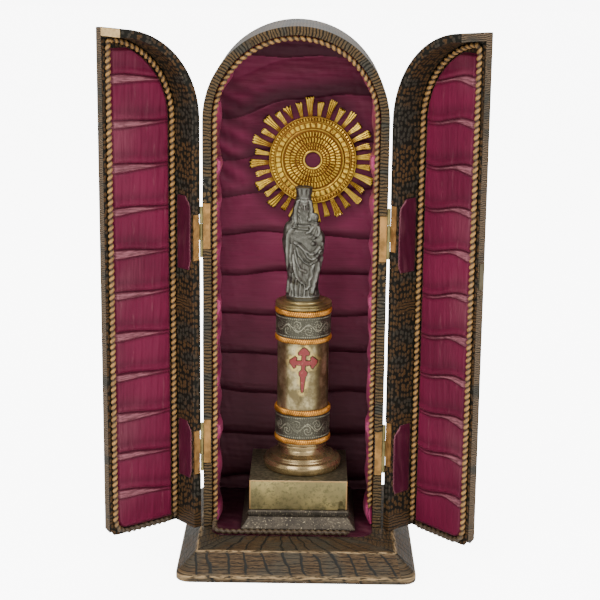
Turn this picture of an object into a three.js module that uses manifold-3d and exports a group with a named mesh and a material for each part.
// Travel shrine, in millimetres, +Z up, front towards -Y, origin at the middle of the base's underside.
// An arched, leather-covered case on a sloped base, closed by two half-arch doors and lined with
// ruched silk. Inside stand a plinth, a column with a small crowned figure, and a gilt sunburst.
import * as THREE from "three";
import { mergeVertices } from "three/addons/utils/BufferGeometryUtils.js";
import Module from "manifold-3d";

const wasm = await Module();
wasm.setup();

// Clearances
const REST_GAP = 0.1; // between faces that rest on or against each other
const CUT_GAP = 0.3; // between pieces let into each other
const CORD_GAP = 0.3; // between a cord and the faceted arch it follows
const PAST = 1; // how far a cutter runs past the face it cuts

// Base: a square board with a straight band and four sloped sides
const BASE_HALF = 69;
const BASE_CORNER_R = 8;
const BAND_HEIGHT = 4;
const LEDGE_Z = 15;
const LEDGE_HALF = 57.5;
const LEDGE_CORNER_R = 2;

// Case: an arched box, open at the front
const CASE_X = -2.9;
const RIM_Y = -20.8; // plane of the case's front rim
const CASE_R = 52.5; // outer radius of the arch, half the case's width
const CASE_DEPTH = 72;
const SPRING_H = 243.4; // height of the arch's centre over the ledge
const WALL = 4.6;
const ARCH_STEPS = 22;

// Doors: trays with a wall on the arch and on the hinge side only
const DOOR_DEPTH = 24;
const BOARD = 5; // thickness of the door's flat board
const RIM_GAP = 0.4; // between the rims of case and door when closed
const MEET_GAP = 1.2; // between the two free edges when closed, which leaves room for the catch
const DOOR_LIFT = 0.6; // of the door's foot over the ledge
const DOOR_CORNER_R = 3.5; // of the board's lower corner at the free edge
const LEFT_OPEN_DEG = 140;
const RIGHT_OPEN_DEG = 130;

// Hinges: leaves let into the rims, a barrel outside the corner
const HINGE_OUT = 1.1; // from the case's side to the barrel's axis
const HINGE_HEIGHTS = { upper: 179.5, lower: 50.5 }; // over the ledge
const LEAF_HEIGHT = 26.5;
const LEAF_WIDTH = 4;
const LEAF_THICK = 0.8;
const LEAF_SHIFT = 3.2; // the left-hand leaf of each hinge sits lower, the right-hand one higher
const BARREL_HEIGHT = 29.4;
const BARREL_R = 0.9;
const PIN_R = 0.4;
const PIN_CLEAR = 0.06;
const KNUCKLE_GAP = 0.15;
const BARREL_SIDES = 8;

// Linings and cords
const LINING = 1.5; // on the walls
const BACK_LINING = 3;
const DOOR_LINING = 2.4;
const FLOOR_LINING = 0.9;
const FLOOR_FRONT = -14.8; // front edge of the floor's lining, from the rim plane
const CORD_R = 1.5;
const CORD_SIDES = 6;
const CORD_ARCH_STEPS = 20;
const BEND_STEPS = 4;
const CORD_INSET = 3.9; // of the door's cord from the free edge
const DOOR_CORD_CORNER = 7; // of the door's cord and lining, at the same corner
const CASE_CORD_Y = 3; // behind the rim plane
const CASE_CORD_FOOT = 12; // height of its frayed end over the ledge
const FLOOR_CORD_END = 34; // from the case's middle
const PATCH = 0.6; // silk over each hinge's screws, on the door's inner wall
const PATCH_SPANS = {
  left: { upper: [157, 200], lower: [31, 66] },
  right: { upper: [157, 200], lower: [23, 65] },
}; // over the ledge

// Plinth
const PLINTH_X = 0.6;
const PLINTH_Y = 27; // behind the rim plane
const SKIRT_HALF = 33.9;
const SKIRT_TOP_HALF = 29.6;
const SKIRT_HEIGHT = 7;
const GROOVE_HALF = 28.9;
const STEP_HALF = 30.2;
const STEP_HEIGHT = 3.2;
const BLOCK_HALF = 29.1;
const BLOCK_HEIGHT = 18.4;
const NOTCH_FOOT = [23.4, 28.4]; // torn gap at the block's lower front corner, across its foot
const NOTCH_TOP = [24.6, 25.8];
const NOTCH_HEIGHT = 5.4;
const NOTCH_DEPTH = 1.6;

// Column, from its foot on the block upwards
const COLUMN_X = 2.4;
const COLUMN_SIDES = 24;
const SHAFT_R = 15.3;
const BAND_R = 16.4;
const RING_R = 17.1;
const COLUMN_LEVELS = {
  foot: 30.8, shaftFoot: 47.8, lowRing: 48, lowBand: 51.8, midRing: 65.9,
  shaftFace: 69.8, highRing: 110.2, highBand: 113.8, topRing: 126.6, cap: 130.4, figure: 135.2,
}; // heights over the ledge
const CROSS_HEIGHT = 27.4;
const CROSS_LEAN = 0.038; // sideways per unit of height, about the sword's middle
const CROSS_TOP = 108.4;
const CROSS_PROUD = 0.6;

// Figure
const FIGURE_X = 2;
const FIGURE_HEIGHT = 66.7;
const FIGURE_TURNS = 34;
const FIGURE_RISES = 37;
const FIGURE_FRONT_CROWDING = 0.35; // how much closer the columns of points stand in front
const FORM_BLEND = 0.9; // soft join between the figure's forms

// Sunburst behind the figure's head
const HALO_X = 6.8;
const HALO_Z = 212.3; // over the ledge
const HALO_R = 26.6;
const HALO_HOLE_R = 4.7;
const HALO_THICK = 0.5;
const RAY_COUNT = 32;
const RAY_LEAN = 0.064; // radians from upright to the first ray
const LONG_RAY = { reach: 37.8, halfRoot: 1.5, halfTip: 2.4 };
const SHORT_RAY = { reach: 35.3, halfRoot: 1.15, halfTip: 1.8 };

// Catch plate and stud on the right door's free edge
const CATCH_SPAN = [153.7, 168.5];
const CATCH_WIDTH = 3.4;
const CATCH_THICK = 0.8;
const STUD_Z = 149.4;
const STUD_R = 0.9;
const STUD_LENGTH = 0.7;

const finishes = {
  leather: { color: 0x3b3024, roughness: 0.45, metalness: 0 },
  silk: { color: 0x6d2140, roughness: 0.5, metalness: 0 },
  goldCord: { color: 0xb9935a, roughness: 0.7, metalness: 0 },
  leafBrass: { color: 0xa57846, roughness: 0.5, metalness: 0.8 },
  barrelBrass: { color: 0x6e6441, roughness: 0.4, metalness: 0.9 },
  plateBrass: { color: 0x8c7d50, roughness: 0.45, metalness: 0.9 },
  bronze: { color: 0x6e4b2d, roughness: 0.35, metalness: 0.9 },
  pewter: { color: 0x6e6c64, roughness: 0.5, metalness: 0.9 },
  copperRope: { color: 0xcd8c3c, roughness: 0.4, metalness: 0.9 },
  gilt: { color: 0xc89628, roughness: 0.35, metalness: 1 },
  enamel: { color: 0xa52d32, roughness: 0.4, metalness: 0 },
};

function piece(name, geometry, finish) {
  const mesh = new THREE.Mesh(geometry, new THREE.MeshStandardMaterial(finishes[finish]));
  mesh.name = name;
  return mesh;
}

// Joining and cutting

function toSolid(geometry) {
  const bare = new THREE.BufferGeometry();
  bare.setAttribute("position", geometry.getAttribute("position"));
  bare.setIndex(geometry.index);
  const merged = mergeVertices(bare, 1e-4);
  return new wasm.Manifold(new wasm.Mesh({
    numProp: 3,
    vertProperties: new Float32Array(merged.getAttribute("position").array),
    triVerts: new Uint32Array(merged.index.array),
  }));
}

function toGeometry(solid) {
  const mesh = solid.getMesh();
  const geometry = new THREE.BufferGeometry();
  geometry.setAttribute("position", new THREE.BufferAttribute(new Float32Array(mesh.vertProperties), 3));
  geometry.setIndex(new THREE.BufferAttribute(new Uint32Array(mesh.triVerts), 1));
  geometry.computeVertexNormals();
  return geometry;
}

function cut(body, ...cutters) {
  return toGeometry(cutters.reduce((solid, cutter) => solid.subtract(toSolid(cutter)), toSolid(body)));
}

function join(body, ...others) {
  return toGeometry(others.reduce((solid, other) => solid.add(toSolid(other)), toSolid(body)));
}

// Basic forms

function block([x0, x1], [y0, y1], [z0, z1]) {
  const geometry = new THREE.BoxGeometry(x1 - x0, y1 - y0, z1 - z0);
  return geometry.translate((x0 + x1) / 2, (y0 + y1) / 2, (z0 + z1) / 2);
}

// A shape drawn in X and Z, carried from y0 to y1
function slab(shape, y0, y1) {
  const geometry = new THREE.ExtrudeGeometry(shape, { depth: y1 - y0, bevelEnabled: false });
  return geometry.rotateX(Math.PI / 2).translate(0, y1, 0);
}

// A profile of [radius, height] pairs, from the axis round and back to it, turned about Z
function turned(profile, sides) {
  const points = profile.map(([r, z]) => new THREE.Vector2(r, z));
  return new THREE.LatheGeometry(points, sides).rotateX(Math.PI / 2);
}

// A closed body through rings of equal point count, each ring anticlockwise seen from above
function loft(rings) {
  const count = rings[0].length;
  const positions = rings.flat(2);
  const index = [];
  for (let level = 0; level + 1 < rings.length; level += 1) {
    for (let i = 0; i < count; i += 1) {
      const a = level * count + i;
      const b = level * count + ((i + 1) % count);
      index.push(a, b, b + count, a, b + count, a + count);
    }
  }
  const centres = [rings[0], rings.at(-1)].map((ring) => [0, 1, 2].map(
    (axis) => ring.reduce((sum, point) => sum + point[axis], 0) / count));
  const low = rings.length * count;
  const top = (rings.length - 1) * count;
  positions.push(...centres[0], ...centres[1]);
  for (let i = 0; i < count; i += 1) {
    const next = (i + 1) % count;
    index.push(low, next, i, low + 1, top + i, top + next);
  }
  const geometry = new THREE.BufferGeometry();
  geometry.setAttribute("position", new THREE.Float32BufferAttribute(positions, 3));
  geometry.setIndex(index);
  geometry.computeVertexNormals();
  return geometry;
}

function roundedSquare(half, radius, z, steps = 4) {
  const ring = [];
  for (let corner = 0; corner < 4; corner += 1) {
    const [sx, sy] = [[1, -1], [1, 1], [-1, 1], [-1, -1]][corner];
    for (let i = 0; i <= steps; i += 1) {
      const angle = (corner - 1 + i / steps) * (Math.PI / 2);
      ring.push([
        sx * (half - radius) + radius * Math.cos(angle),
        sy * (half - radius) + radius * Math.sin(angle), z,
      ]);
    }
  }
  return ring;
}

// A round-ended arch: straight sides from foot to the springing, then a half circle
function archShape(radius, foot) {
  const shape = new THREE.Shape();
  shape.moveTo(-radius, foot);
  shape.lineTo(radius, foot);
  for (let i = 0; i <= ARCH_STEPS; i += 1) {
    const angle = (i / ARCH_STEPS) * Math.PI;
    shape.lineTo(radius * Math.cos(angle), SPRING_H + radius * Math.sin(angle));
  }
  return shape;
}

// Half an arch for the left door: the arch's centre stands over the free edge. u runs from the
// hinge side, and the arch keeps its centre at u = CASE_R whatever the radius. The lower corner at
// the free edge is rounded, and the upper one can be cut off.
function halfArchShape(radius, foot, freeEdge, corner, cutOff = 0) {
  const shape = new THREE.Shape();
  shape.moveTo(CASE_R - radius, foot);
  for (let i = 0; i <= 3; i += 1) {
    const angle = (i / 3 - 1) * (Math.PI / 2);
    shape.lineTo(freeEdge - corner + corner * Math.cos(angle), foot + corner + corner * Math.sin(angle));
  }
  const steps = ARCH_STEPS / 2;
  const start = Math.acos(Math.min(1, (freeEdge - cutOff - CASE_R) / radius));
  if (cutOff > 0) shape.lineTo(freeEdge, SPRING_H + radius - cutOff);
  for (let i = 0; i <= steps; i += 1) {
    const angle = start + (i / steps) * (Math.PI - start);
    shape.lineTo(CASE_R + radius * Math.cos(angle), SPRING_H + radius * Math.sin(angle));
  }
  return shape;
}

// The same body seen in a mirror standing on X = 0
function mirrored(geometry) {
  const loose = geometry.index ? geometry.toNonIndexed() : geometry.clone();
  const flipped = loose.scale(-1, 1, 1);
  const position = flipped.getAttribute("position");
  for (let i = 0; i < position.count; i += 3) {
    for (const get of ["getX", "getY", "getZ"]) {
      const set = get.replace("get", "set");
      const kept = position[get](i + 1);
      position[set](i + 1, position[get](i + 2));
      position[set](i + 2, kept);
    }
  }
  flipped.computeVertexNormals();
  return flipped;
}

const handed = (geometry, side) => (side < 0 ? geometry : mirrored(geometry));

// A round cord that runs straight from each point of its route to the next
function cordAlong(route) {
  const side = new THREE.Vector3(0, 1, 0);
  const rings = route.map((point, i) => {
    const before = route[Math.max(0, i - 1)];
    const after = route[Math.min(route.length - 1, i + 1)];
    const along = after.clone().sub(point).normalize().add(point.clone().sub(before).normalize()).normalize();
    side.addScaledVector(along, -side.dot(along)).normalize();
    const other = new THREE.Vector3().crossVectors(along, side);
    return Array.from({ length: CORD_SIDES }, (unused, k) => {
      const angle = (k / CORD_SIDES) * 2 * Math.PI;
      return point.clone()
        .addScaledVector(side, CORD_R * Math.cos(angle))
        .addScaledVector(other, CORD_R * Math.sin(angle))
        .toArray();
    });
  });
  return loft(rings);
}

const bend = (from, corner, to) => new THREE.QuadraticBezierCurve3(from, corner, to).getPoints(BEND_STEPS);

// Base

function makeBase() {
  return loft([
    roundedSquare(BASE_HALF, BASE_CORNER_R, 0),
    roundedSquare(BASE_HALF, BASE_CORNER_R, BAND_HEIGHT),
    roundedSquare(LEDGE_HALF, LEDGE_CORNER_R, LEDGE_Z),
  ]);
}

// Hinges, drawn for the left side about their own pin, in the closed place: the case's leaf lies
// behind the pin (+Y), the door's leaf in front of it (-Y), and both run towards +X. The hinge's
// left-hand leaf, seen from the front, is the lower one: the door's on the left, the case's on the
// right.

function leafSpan(centre, side, isCase) {
  const middle = centre + ((side < 0) === isCase ? LEAF_SHIFT : -LEAF_SHIFT);
  return [middle - LEAF_HEIGHT / 2, middle + LEAF_HEIGHT / 2];
}

// The shallow seat cut into a rim at rimY for a leaf; into is +1 for the case and -1 for the door
function leafSeat(x0, rimY, into, [z0, z1]) {
  const depths = [rimY - into * PAST, rimY + into * (LEAF_THICK + CUT_GAP)].sort((a, b) => a - b);
  return block([x0 - PAST, x0 + LEAF_WIDTH + CUT_GAP], depths, [z0 - CUT_GAP, z1 + CUT_GAP]);
}

function makeHingeLeaf(centre, side, isCase) {
  const third = BARREL_HEIGHT / 3;
  const low = centre - BARREL_HEIGHT / 2;
  const spans = isCase
    ? [[low, low + third - KNUCKLE_GAP], [low + 2 * third + KNUCKLE_GAP, low + BARREL_HEIGHT]]
    : [[low + third + KNUCKLE_GAP, low + 2 * third - KNUCKLE_GAP]];
  const plateY = isCase
    ? [RIM_GAP / 2 + REST_GAP, RIM_GAP / 2 + LEAF_THICK]
    : [-RIM_GAP / 2 - LEAF_THICK, -RIM_GAP / 2 - REST_GAP];
  const [foot, head] = leafSpan(centre, side, isCase);
  const plate = block([HINGE_OUT, HINGE_OUT + LEAF_WIDTH], plateY, [foot, head]);
  const bore = PIN_R + PIN_CLEAR;
  const knuckles = spans.flatMap(([z0, z1]) => {
    const tube = [[bore, z0], [BARREL_R, z0], [BARREL_R, z1], [bore, z1], [bore, z0]];
    const hole = [[0, z0 - PAST], [bore, z0 - PAST], [bore, z1 + PAST], [0, z1 + PAST]];
    const tab = block([0, HINGE_OUT + PIN_R], plateY, [Math.max(z0, foot), Math.min(z1, head)]);
    return [turned(tube, BARREL_SIDES), cut(tab, turned(hole, BARREL_SIDES))];
  });
  return handed(join(plate, ...knuckles), side);
}

function makeHingePin(centre) {
  const z0 = centre - BARREL_HEIGHT / 2 + REST_GAP;
  const z1 = centre + BARREL_HEIGHT / 2 - REST_GAP;
  return turned([[0, z0], [PIN_R, z0], [PIN_R, z1], [0, z1]], BARREL_SIDES);
}

// Case, with its place and its X set by the group it hangs in: X = 0 is the case's middle, Y = 0 the
// rim plane and Z = 0 the ledge.

function makeCaseShell() {
  const outer = slab(archShape(CASE_R, REST_GAP), 0, CASE_DEPTH);
  const inner = slab(archShape(CASE_R - WALL, -PAST), -PAST, CASE_DEPTH - WALL);
  const seats = [-1, 1].flatMap((side) => Object.values(HINGE_HEIGHTS).map(
    (centre) => handed(leafSeat(-CASE_R, 0, 1, leafSpan(centre, side, true)), side)));
  return cut(outer, inner, ...seats);
}

function makeBackLining() {
  const back = CASE_DEPTH - WALL - REST_GAP;
  return slab(archShape(CASE_R - WALL - REST_GAP, FLOOR_LINING + 2 * REST_GAP), back - BACK_LINING, back);
}

function makeWallLining() {
  const outer = CASE_R - WALL - REST_GAP;
  const front = CASE_CORD_Y + CORD_R + 2 * CORD_GAP;
  const back = CASE_DEPTH - WALL - BACK_LINING - HALO_THICK - 4 * REST_GAP;
  const foot = FLOOR_LINING + 2 * REST_GAP;
  return cut(
    slab(archShape(outer, foot), front, back),
    slab(archShape(outer - LINING, foot - PAST), front - PAST, back + PAST),
  );
}

function makeFloorLining() {
  const half = CASE_R - WALL - 2 * REST_GAP;
  const shape = new THREE.Shape();
  const corner = 9;
  const [front, back] = [FLOOR_FRONT, CASE_DEPTH - WALL - REST_GAP];
  shape.moveTo(half, back);
  shape.lineTo(-half, back);
  for (let i = 0; i <= 5; i += 1) {
    const angle = Math.PI + (i / 5) * (Math.PI / 2);
    shape.lineTo(-half + corner + corner * Math.cos(angle), front + corner + corner * Math.sin(angle));
  }
  shape.lineTo(half - corner, front);
  shape.lineTo(half, front + corner);
  const depth = FLOOR_LINING;
  return new THREE.ExtrudeGeometry(shape, { depth, bevelEnabled: false }).translate(0, 0, REST_GAP * 2);
}

// Up the right side from the frayed end, over the arch, down the left, round the front corner and
// along the floor lining's front edge
function makeCaseCord() {
  const side = CASE_R - WALL - CORD_R - CORD_GAP;
  const floorZ = FLOOR_LINING + 3 * REST_GAP + CORD_R;
  const front = FLOOR_FRONT + CORD_R - CORD_GAP;
  const at = (x, y, z) => new THREE.Vector3(x, y, z);
  const route = [at(side, CASE_CORD_Y, CASE_CORD_FOOT)];
  for (let i = 0; i <= CORD_ARCH_STEPS; i += 1) {
    const angle = (i / CORD_ARCH_STEPS) * Math.PI;
    route.push(at(side * Math.cos(angle), CASE_CORD_Y, SPRING_H + side * Math.sin(angle)));
  }
  route.push(
    ...bend(at(-side, CASE_CORD_Y, 16), at(-side, CASE_CORD_Y, floorZ), at(-side, -5, floorZ)),
    ...bend(at(-side, -6, floorZ), at(-side, front, floorZ), at(-side + 8, front, floorZ)),
    at(FLOOR_CORD_END, front, floorZ),
  );
  return cordAlong(route);
}

// Doors, drawn for the left side about the hinge's pin in the closed place, so that each door's
// group turns them open: X = 0 and Y = 0 at the pin, Z = 0 at the ledge

const doorX = (u) => HINGE_OUT + u;
const doorY = (v) => -RIM_GAP / 2 - v;

function doorSlab(shape, v0, v1) {
  return slab(shape, doorY(v1), doorY(v0)).translate(HINGE_OUT, 0, 0);
}

function makeDoorShell(side) {
  const freeEdge = CASE_R - MEET_GAP / 2;
  const outer = doorSlab(halfArchShape(CASE_R, DOOR_LIFT, freeEdge, DOOR_CORNER_R), 0, DOOR_DEPTH);
  const hollow = halfArchShape(CASE_R - WALL, -PAST, CASE_R + PAST, 0);
  const inner = doorSlab(hollow, -PAST, DOOR_DEPTH - BOARD);
  const seats = Object.values(HINGE_HEIGHTS).map(
    (centre) => leafSeat(doorX(0), doorY(0), -1, leafSpan(centre, side, false)));
  return handed(cut(outer, inner, ...seats), side);
}

function makeDoorLining(side) {
  const radius = CASE_R - WALL - 2 * CORD_R - 2 * CORD_GAP;
  const freeEdge = CASE_R - CORD_INSET - CORD_R - CORD_GAP;
  const top = DOOR_DEPTH - BOARD - REST_GAP;
  const foot = DOOR_LIFT + 2 * CORD_R + 2 * CORD_GAP;
  const shape = halfArchShape(radius, foot, freeEdge, DOOR_CORD_CORNER, 2 * CORD_R);
  return handed(doorSlab(shape, top - DOOR_LINING, top), side);
}

function makeDoorCord(side) {
  const y = doorY(DOOR_DEPTH - BOARD - CORD_R - REST_GAP);
  const arch = CASE_R - WALL - CORD_R - CORD_GAP;
  const free = CASE_R - CORD_INSET;
  const foot = DOOR_LIFT + CORD_R + CUT_GAP;
  const hingeSide = CASE_R - arch;
  const at = (u, z) => new THREE.Vector3(doorX(u), y, z);
  const start = Math.acos((free - 2 * CORD_R - CASE_R) / arch);
  const onArch = (angle) => at(CASE_R + arch * Math.cos(angle), SPRING_H + arch * Math.sin(angle));
  const top = SPRING_H + arch;
  const route = [
    at(hingeSide + 2 * CORD_R + CUT_GAP, foot),
    ...bend(at(free - DOOR_CORD_CORNER, foot), at(free, foot), at(free, foot + DOOR_CORD_CORNER)),
    ...bend(at(free, top - 2 * CORD_R), at(free, top - CORD_GAP), onArch(start)),
  ];
  const steps = CORD_ARCH_STEPS / 2;
  for (let i = 1; i <= steps; i += 1) route.push(onArch(start + (i / steps) * (Math.PI - start)));
  route.push(at(hingeSide, foot));
  return handed(cordAlong(route), side);
}

function makePatch(side, [z0, z1]) {
  const inner = WALL + REST_GAP;
  const v = [2.2, DOOR_DEPTH - BOARD - 2 * CORD_R - 3 * REST_GAP];
  return handed(block([doorX(inner), doorX(inner + PATCH)], [doorY(v[1]), doorY(v[0])], [z0, z1]), side);
}

function makeCatchPlate() {
  const x = doorX(CASE_R - MEET_GAP / 2 + REST_GAP);
  const middle = doorY(DOOR_DEPTH - BOARD / 2);
  const across = [middle - CATCH_WIDTH / 2, middle + CATCH_WIDTH / 2];
  return mirrored(block([x, x + CATCH_THICK], across, CATCH_SPAN));
}

function makeCatchStud() {
  const x = doorX(CASE_R - MEET_GAP / 2 + REST_GAP);
  const stud = turned([[0, 0], [STUD_R, 0], [STUD_R * 0.8, STUD_LENGTH], [0, STUD_LENGTH]], BARREL_SIDES);
  return mirrored(stud.rotateY(Math.PI / 2).translate(x, doorY(DOOR_DEPTH - BOARD / 2), STUD_Z));
}

// Plinth, about its own middle, Z = 0 at the ledge

function makePlinthFoot(foot) {
  const square = (half, z) => roundedSquare(half, 0.6, z, 1);
  const stepFoot = foot + SKIRT_HEIGHT + 0.8;
  return loft([
    square(SKIRT_HALF, foot), square(SKIRT_HALF, foot + 1),
    square(SKIRT_TOP_HALF, foot + SKIRT_HEIGHT), square(GROOVE_HALF, foot + SKIRT_HEIGHT),
    square(GROOVE_HALF, stepFoot), square(STEP_HALF, stepFoot),
    square(STEP_HALF, stepFoot + STEP_HEIGHT - 0.8), square(STEP_HALF - 0.8, stepFoot + STEP_HEIGHT),
  ]);
}

function makePlinthBlock(foot) {
  const body = block([-BLOCK_HALF, BLOCK_HALF], [-BLOCK_HALF, BLOCK_HALF], [foot, foot + BLOCK_HEIGHT]);
  const gap = new THREE.Shape();
  gap.moveTo(NOTCH_FOOT[0], foot - PAST);
  gap.lineTo(NOTCH_FOOT[1], foot - PAST);
  gap.lineTo(NOTCH_TOP[1], foot + NOTCH_HEIGHT);
  gap.lineTo(NOTCH_TOP[0], foot + NOTCH_HEIGHT);
  return cut(body, slab(gap, -BLOCK_HALF - PAST, -BLOCK_HALF + NOTCH_DEPTH));
}

// Column, about its own axis, Z = 0 at the ledge

function sleeve(outer, z0, z1, bulge) {
  const inner = SHAFT_R + REST_GAP;
  const middle = (z0 + z1) / 2;
  const profile = bulge > 0
    ? [[inner, z0], [outer - bulge, z0], [outer, middle - 0.7], [outer, middle + 0.7], [outer - bulge, z1],
      [inner, z1], [inner, z0]]
    : [[inner, z0], [outer, z0], [outer, z1], [inner, z1], [inner, z0]];
  return turned(profile, COLUMN_SIDES);
}

function makeColumnFoot() {
  const z = COLUMN_LEVELS.foot;
  return turned([
    [0, z], [22.3, z], [23.2, z + 1.6], [23.6, z + 4.4], [22.8, z + 6.2], [20.1, z + 6.9], [19.7, z + 7.7],
    [19.1, z + 8.8], [15.9, z + 9.8], [13.9, z + 11.8], [13.3, z + 13.6], [14.7, z + 14.3], [14.7, z + 15.6],
    [15.2, z + 16.1],
    [15.2, COLUMN_LEVELS.shaftFoot - REST_GAP], [0, COLUMN_LEVELS.shaftFoot - REST_GAP],
  ], COLUMN_SIDES);
}

function makeCap() {
  const z = COLUMN_LEVELS.cap;
  const top = COLUMN_LEVELS.figure;
  return turned([
    [0, z], [16.1, z], [16.9, z + 0.5], [16.9, z + 1.5], [16.1, z + 2], [16.7, z + 2.4], [16.7, z + 3.1],
    [15.6, z + 3.4], [13.1, z + 3.6], [12.9, top - REST_GAP], [0, top - REST_GAP],
  ], COLUMN_SIDES);
}

// A cross fleury with a blade-shaped lower limb, drawn flat with its top at Z = 0
function crossShape() {
  const half = [
    [0, 0], [1.5, -0.9], [3.2, -3], [3.2, -4.4], [0.95, -4.5], [1.1, -8], [4.4, -8.2], [4.2, -6.3],
    [5.2, -5.6], [8.2, -8.3], [8, -9.6], [5.6, -12.8], [4.6, -12], [4.8, -10.6], [1, -10.7], [0.9, -13.5],
    [2.4, -15.2], [2.2, -16.7], [1.35, -17.9], [1.2, -20.3], [0.9, -24], [0.5, -26.9], [0, -CROSS_HEIGHT],
  ];
  const outline = [...half, ...half.slice(1, -1).reverse().map(([x, z]) => [-x, z])];
  const leant = outline.map(([x, z]) => [x + CROSS_LEAN * (z + 0.7 * CROSS_HEIGHT), z]);
  const shape = new THREE.Shape();
  leant.forEach(([x, z], i) => (i === 0 ? shape.moveTo(x, z) : shape.lineTo(x, z)));
  return shape;
}

// The flat cross, carried back into a thin shell round the shaft
function makeCross() {
  const low = CROSS_TOP - CROSS_HEIGHT - PAST;
  const high = CROSS_TOP + PAST;
  const inner = SHAFT_R + REST_GAP;
  const shell = turned([[inner, low], [inner + CROSS_PROUD, low], [inner + CROSS_PROUD, high], [inner, high],
    [inner, low]], COLUMN_SIDES);
  const flat = slab(crossShape(), -SHAFT_R - 2, -SHAFT_R / 2).translate(0, 0, CROSS_TOP);
  return toGeometry(toSolid(shell).intersect(toSolid(flat)));
}

// Figure: a standing crowned woman in a veil and mantle with a child on her left arm, cast in one.
// Each section is an oval given by its reach to the left, right, front and back at a height, and
// rounded forms stand out of it: [across, ahead, height, half width, half depth, half height].

const FIGURE_STATIONS = [
  [0, 10.2, 9.9, 8, 7.4], [2, 10.4, 9.9, 8, 7.4], [3, 10.2, 9.6, 7.6, 7], [8, 9.9, 9, 7.2, 6.8],
  [13, 9.5, 9.5, 7.1, 6.7], [19, 10.4, 10.7, 7.2, 6.7], [25, 11.3, 11.6, 7.4, 6.8],
  [31, 12.4, 12.3, 7.6, 6.9], [35, 12.9, 12.4, 7.5, 6.8], [40, 11.8, 9.6, 6.9, 6.3],
  [44, 10.4, 7.8, 6.1, 5.7], [48, 8.6, 6.3, 5.2, 5.2], [52, 7, 5.8, 4.7, 5], [56, 6.2, 5.4, 4.6, 5],
  [59, 5.2, 4.6, 4.5, 4.7], [60.6, 4.6, 4.1, 4.4, 4.4], [61.2, 4.5, 4.2, 4.3, 4.3],
  [64, 4.7, 4.6, 4.5, 4.5], [FIGURE_HEIGHT, 5.2, 5, 5, 5],
];

const FIGURE_FORMS = [
  [0.2, 2.4, 55.2, 2.4, 3.1, 4.6], // face
  [7, 3.4, 48.9, 2, 2.3, 2.9], [7, 3.2, 41.6, 3.3, 3.4, 5.4], // child's head and body
  [3.8, 5.2, 38, 3.9, 2.6, 2.2], [1.2, 6, 37.2, 1.8, 1.9, 1.5], // child's legs and feet
  [5.4, 6, 34, 1.8, 2, 1.6], [10.2, 1.5, 35.6, 2.5, 4.6, 5.4], // left hand and arm
  [-1.5, 4.8, 43.6, 5.4, 2.4, 1.7], [-9, 1.8, 40.2, 3.2, 4.4, 6.2], // right forearm and sleeve
  [-3.4, 4.2, 18, 5, 4.6, 10], [4.4, 3.6, 25.5, 5.6, 4.8, 4.2], // knee and gathered mantle
];

function stationAt(z) {
  const next = FIGURE_STATIONS.findIndex(([height]) => height >= z);
  const upper = FIGURE_STATIONS[Math.max(1, next)];
  const lower = FIGURE_STATIONS[Math.max(1, next) - 1];
  const part = THREE.MathUtils.smoothstep(z, lower[0], upper[0]);
  return lower.map((value, i) => value + (upper[i] - value) * part);
}

// How far a level line from the figure's middle runs before it leaves a rounded form
function reachOf([across, ahead, height, halfWidth, halfDepth, halfHeight], turn, z) {
  const shrink = Math.sqrt(Math.max(0, 1 - ((z - height) / halfHeight) ** 2));
  if (shrink === 0) return 0;
  const [sx, sy] = [Math.sin(turn) / (halfWidth * shrink), Math.cos(turn) / (halfDepth * shrink)];
  const [cx, cy] = [across / (halfWidth * shrink), ahead / (halfDepth * shrink)];
  const [square, cross] = [sx * sx + sy * sy, cx * sx + cy * sy];
  const inside = cross * cross - square * (cx * cx + cy * cy - 1);
  return inside > 0 ? Math.max(0, (cross + Math.sqrt(inside)) / square) : 0;
}

function blended(a, b) {
  const near = Math.max(0, 1 - Math.abs(a - b) / FORM_BLEND);
  return Math.max(a, b) + (near * near * FORM_BLEND) / 4;
}

function figureRadius(turn, z) {
  const [, left, right, front, back] = stationAt(z);
  const across = Math.sin(turn) > 0 ? right : left;
  const along = Math.cos(turn) > 0 ? front : back;
  const oval = 1 / Math.hypot(Math.sin(turn) / across, Math.cos(turn) / along);
  return FIGURE_FORMS.reduce((radius, form) => blended(radius, reachOf(form, turn, z)), oval);
}

function makeFigure() {
  const rings = [];
  for (let rise = 0; rise <= FIGURE_RISES; rise += 1) {
    const z = (rise / FIGURE_RISES) * FIGURE_HEIGHT;
    const ring = [];
    for (let i = 0; i < FIGURE_TURNS; i += 1) {
      const even = (i / FIGURE_TURNS) * 2 * Math.PI;
      const turn = even - FIGURE_FRONT_CROWDING * Math.sin(even);
      const r = figureRadius(turn, z);
      ring.push([r * Math.sin(turn), -r * Math.cos(turn), z]);
    }
    rings.push(ring);
  }
  return loft(rings);
}

// Sunburst: a pierced disc with flared rays, alternately long and short, drawn about its middle

function sunburstShape() {
  const shape = new THREE.Shape();
  const pitch = (2 * Math.PI) / RAY_COUNT;
  const at = (radius, angle) => [radius * Math.cos(angle), radius * Math.sin(angle)];
  for (let ray = 0; ray < RAY_COUNT; ray += 1) {
    const angle = Math.PI / 2 + RAY_LEAN + ray * pitch;
    const { reach, ...half } = ray % 2 === 0 ? LONG_RAY : SHORT_RAY;
    const halfRoot = half.halfRoot / HALO_R;
    const halfTip = half.halfTip / reach;
    if (ray === 0) shape.moveTo(...at(HALO_R, angle - halfRoot));
    else shape.lineTo(...at(HALO_R, angle - halfRoot));
    shape.lineTo(...at(reach, angle - halfTip));
    shape.lineTo(...at(reach, angle + halfTip));
    shape.lineTo(...at(HALO_R, angle + halfRoot));
    shape.lineTo(...at(HALO_R, angle + pitch / 2));
  }
  const hole = new THREE.Path();
  hole.absarc(0, 0, HALO_HOLE_R, 0, 2 * Math.PI, true);
  shape.holes.push(hole);
  return shape;
}

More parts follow.
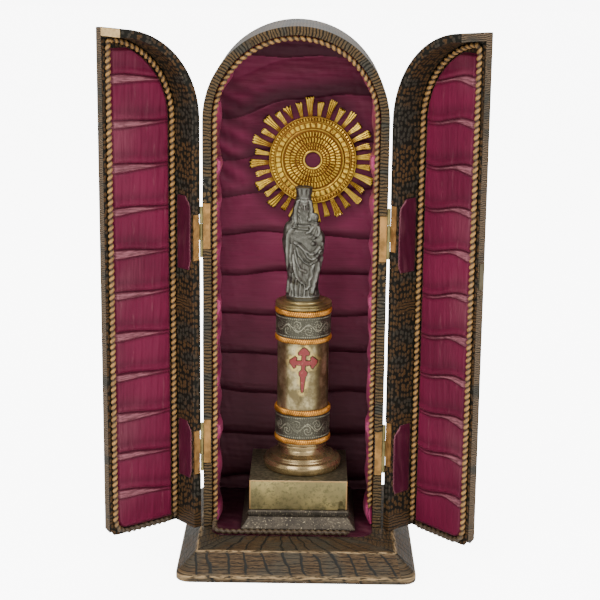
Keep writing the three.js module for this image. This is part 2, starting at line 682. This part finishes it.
function makeSunburst() {
  const geometry = new THREE.ExtrudeGeometry(sunburstShape(), {
    depth: HALO_THICK, bevelEnabled: false, curveSegments: 10,
  });
  return geometry.rotateX(Math.PI / 2);
}

// Assembly

const group = new THREE.Group();
group.add(piece("base", makeBase(), "leather"));

const onLedge = new THREE.Group();
onLedge.position.set(0, RIM_Y, LEDGE_Z);
group.add(onLedge);

const inCase = new THREE.Group();
inCase.position.x = CASE_X;
onLedge.add(inCase);
inCase.add(piece("case_shell", makeCaseShell(), "leather"));
inCase.add(piece("case_back_lining", makeBackLining(), "silk"));
inCase.add(piece("case_wall_lining", makeWallLining(), "silk"));
inCase.add(piece("case_floor_lining", makeFloorLining(), "silk"));
inCase.add(piece("case_cord", makeCaseCord(), "goldCord"));

for (const [side, word, degrees] of [[-1, "left", LEFT_OPEN_DEG], [1, "right", RIGHT_OPEN_DEG]]) {
  const pinLine = new THREE.Group();
  pinLine.position.set(side * (CASE_R + HINGE_OUT), -RIM_GAP / 2, 0);
  inCase.add(pinLine);
  const door = new THREE.Group();
  door.rotation.z = THREE.MathUtils.degToRad(side * degrees);
  pinLine.add(door);

  door.add(piece(`${word}_door_shell`, makeDoorShell(side), "leather"));
  door.add(piece(`${word}_door_lining`, makeDoorLining(side), "silk"));
  door.add(piece(`${word}_door_cord`, makeDoorCord(side), "goldCord"));
  for (const [level, centre] of Object.entries(HINGE_HEIGHTS)) {
    const name = `${word}_${level}_hinge`;
    door.add(piece(`${word}_${level}_patch`, makePatch(side, PATCH_SPANS[word][level]), "silk"));
    door.add(piece(`${name}_door_leaf`, makeHingeLeaf(centre, side, false), "leafBrass"));
    pinLine.add(piece(`${name}_case_leaf`, makeHingeLeaf(centre, side, true), "leafBrass"));
    pinLine.add(piece(`${name}_pin`, makeHingePin(centre), "barrelBrass"));
  }
  if (side > 0) {
    door.add(piece("catch_plate", makeCatchPlate(), "plateBrass"));
    door.add(piece("catch_stud", makeCatchStud(), "plateBrass"));
  }
}

const onPlinth = new THREE.Group();
onPlinth.position.set(PLINTH_X, PLINTH_Y, 0);
onLedge.add(onPlinth);
const plinthFoot = FLOOR_LINING + 3 * REST_GAP;
const blockFoot = plinthFoot + SKIRT_HEIGHT + STEP_HEIGHT + 0.8 + REST_GAP;
onPlinth.add(piece("plinth_foot", makePlinthFoot(plinthFoot), "pewter"));
onPlinth.add(piece("plinth_block", makePlinthBlock(blockFoot), "plateBrass"));

const column = new THREE.Group();
column.position.set(COLUMN_X, PLINTH_Y, 0);
onLedge.add(column);
const levels = COLUMN_LEVELS;
column.add(piece("column_foot", makeColumnFoot(), "bronze"));
const shaft = turned([[0, levels.shaftFoot], [SHAFT_R, levels.shaftFoot], [SHAFT_R, levels.cap - REST_GAP],
  [0, levels.cap - REST_GAP]], COLUMN_SIDES);
column.add(piece("column_shaft", shaft, "plateBrass"));
const ropeRings = {
  rope_ring_1: [levels.lowRing, levels.lowBand], rope_ring_2: [levels.midRing, levels.shaftFace],
  rope_ring_3: [levels.highRing, levels.highBand], rope_ring_4: [levels.topRing, levels.cap],
};
for (const [name, [z0, z1]] of Object.entries(ropeRings)) {
  column.add(piece(name, sleeve(RING_R, z0 + REST_GAP, z1 - REST_GAP, 1), "copperRope"));
}
column.add(piece("lower_grey_band", sleeve(BAND_R, levels.lowBand, levels.midRing, 0), "pewter"));
column.add(piece("upper_grey_band", sleeve(BAND_R, levels.highBand, levels.topRing, 0), "pewter"));
column.add(piece("column_cap", makeCap(), "plateBrass"));
column.add(piece("shaft_cross", makeCross(), "enamel"));

const figure = piece("figure", makeFigure(), "pewter");
figure.position.set(FIGURE_X, PLINTH_Y, levels.figure);
onLedge.add(figure);

const sunburst = piece("sunburst", makeSunburst(), "gilt");
sunburst.position.set(HALO_X, CASE_DEPTH - WALL - BACK_LINING - 3 * REST_GAP, HALO_Z);
onLedge.add(sunburst);

export default group;
